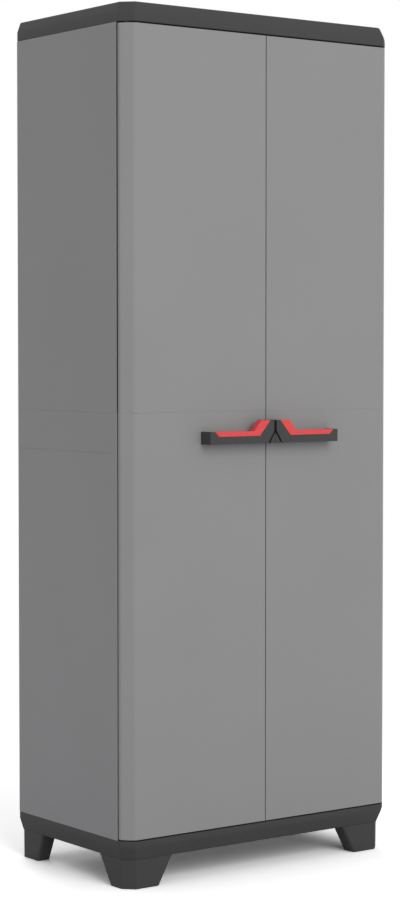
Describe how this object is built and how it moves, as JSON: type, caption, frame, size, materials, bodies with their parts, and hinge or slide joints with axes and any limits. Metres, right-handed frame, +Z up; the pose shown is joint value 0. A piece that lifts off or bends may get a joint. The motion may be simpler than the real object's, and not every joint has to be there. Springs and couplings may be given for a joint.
{
  "type": "storage cabinet",
  "caption": "Tall free-standing moulded plastic storage cabinet with hinged doors, angled front corners, shelves inside, feet, and red-edged handles that meet in the middle.",
  "frame": {"origin": "on the floor, at the middle of the outline seen from above, handles included", "axes": "+X to the right, +Y to the back, +Z up; the doors face -Y"},
  "size_m": [0.68, 0.422, 1.73],
  "materials": {
    "panel_plastic": "fine moulded grain",
    "graphite_plastic": "fine moulded grain",
    "red_plastic": "smooth satin",
    "screw_steel": "zinc plated"
  },
  "bodies": {
    "carcass": {"base_tray": "graphite_plastic", "front_left_foot": "graphite_plastic", "front_right_foot": "graphite_plastic", "rear_left_foot": "graphite_plastic", "rear_right_foot": "graphite_plastic", "lower_left_side": "panel_plastic", "lower_right_side": "panel_plastic", "upper_left_side": "panel_plastic", "upper_right_side": "panel_plastic", "lower_back": "panel_plastic", "upper_back": "panel_plastic", "top_cover": "graphite_plastic", "centre_shelf": "panel_plastic", "lower_shelf": "panel_plastic", "middle_shelf": "panel_plastic", "upper_shelf": "panel_plastic", "lower_shelf_clips": "graphite_plastic", "middle_shelf_clips": "graphite_plastic", "upper_shelf_clips": "graphite_plastic", "left_bottom_pin": "graphite_plastic", "left_top_pin": "graphite_plastic", "right_bottom_pin": "graphite_plastic", "right_top_pin": "graphite_plastic"},
    "left_door": {"left_door_lower": "panel_plastic", "left_door_upper": "panel_plastic", "left_door_screws": "screw_steel", "left_handle": "graphite_plastic", "left_handle_insert": "red_plastic", "left_handle_screws": "screw_steel"},
    "right_door": {"right_door_lower": "panel_plastic", "right_door_upper": "panel_plastic", "right_door_screws": "screw_steel", "right_handle": "graphite_plastic", "right_handle_insert": "red_plastic", "right_handle_screws": "screw_steel"}
  },
  "joints": [
    {"name": "left_door_hinge", "type": "hinge", "parent": "carcass", "child": "left_door", "pos_m": [-0.322, -0.161, 0.9], "axis": [0, 0, -1], "range_deg": [0, 135]},
    {"name": "right_door_hinge", "type": "hinge", "parent": "carcass", "child": "right_door", "pos_m": [0.322, -0.161, 0.9], "axis": [0, 0, 1], "range_deg": [0, 135]}
  ]
}
